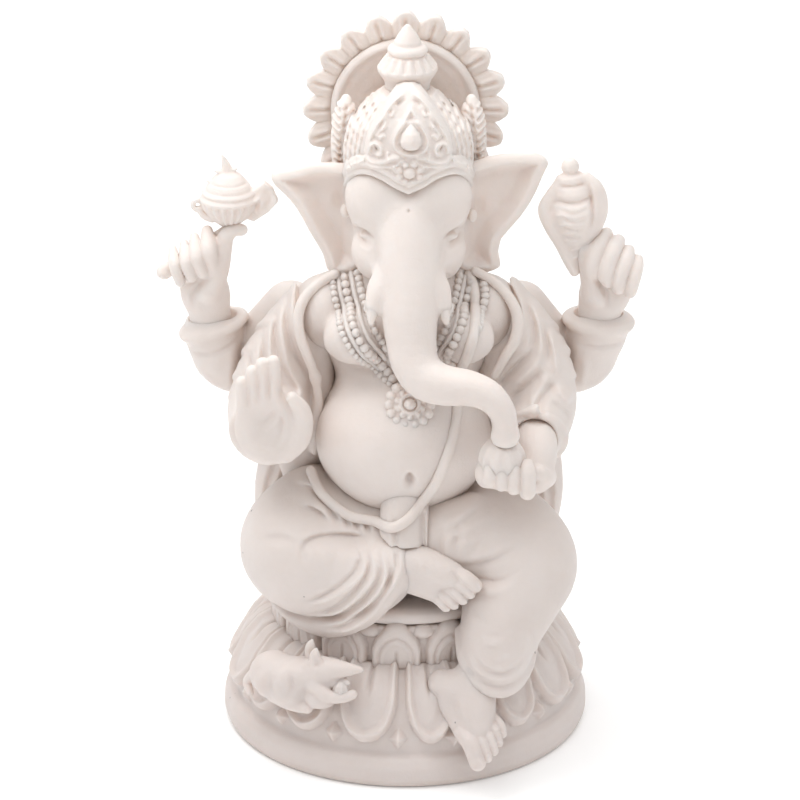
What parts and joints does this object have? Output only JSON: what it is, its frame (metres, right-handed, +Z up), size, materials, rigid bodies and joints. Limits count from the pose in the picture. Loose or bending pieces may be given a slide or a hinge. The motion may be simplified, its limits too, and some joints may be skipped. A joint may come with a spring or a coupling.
{
  "type": "seated elephant-headed idol figurine",
  "caption": "Off-white cast figurine of a seated four-armed elephant-headed deity on a round double lotus base, with a petalled halo behind the crown and a small mouse at its feet",
  "frame": {"origin": "middle of the felt pad's underside, on the axis of the round base", "axes": "+Z up, +X to the viewer's right, +Y away from the viewer, so the figure faces -Y"},
  "size_m": [0.0987, 0.0808, 0.152],
  "materials": {
    "cast_marble": "matte off-white bonded marble, lightly waxed on the high spots",
    "felt": "short grey felt",
    "steel_pin": "plain drawn wire"
  },
  "bodies": {
    "root": {"felt_pad": "felt", "base_plug": "cast_marble", "plinth": "cast_marble", "plinth_petals": "cast_marble", "plinth_leaves": "cast_marble", "lotus_seat": "cast_marble", "seat_petals": "cast_marble", "seat_slab": "cast_marble", "seat_pin": "steel_pin", "torso": "cast_marble", "right_leg": "cast_marble", "left_leg": "cast_marble", "right_foot": "cast_marble", "left_foot": "cast_marble", "waist_sash": "cast_marble", "shawl": "cast_marble", "shawl_ends": "cast_marble", "right_sleeve": "cast_marble", "left_sleeve": "cast_marble", "right_front_hand": "cast_marble", "left_front_hand": "cast_marble", "modak": "cast_marble", "right_rear_sleeve": "cast_marble", "left_rear_sleeve": "cast_marble", "right_rear_hand": "cast_marble", "left_rear_hand": "cast_marble", "right_wrist_pin": "steel_pin", "left_wrist_pin": "steel_pin", "axe_handle": "cast_marble", "axe_head": "cast_marble", "conch": "cast_marble", "head": "cast_marble", "neck_pin": "steel_pin", "right_ear": "cast_marble", "left_ear": "cast_marble", "tusks": "cast_marble", "crown_dome": "cast_marble", "crown_tiara": "cast_marble", "crown_jewel": "cast_marble", "crown_plumes": "cast_marble", "crown_finial": "cast_marble", "halo_disc": "cast_marble", "halo_petals": "cast_marble", "halo_pin": "steel_pin", "necklaces": "cast_marble", "pendant": "cast_marble", "sacred_thread": "cast_marble", "mouse": "cast_marble", "mouse_sweet": "cast_marble"}
  },
  "joints": []
}
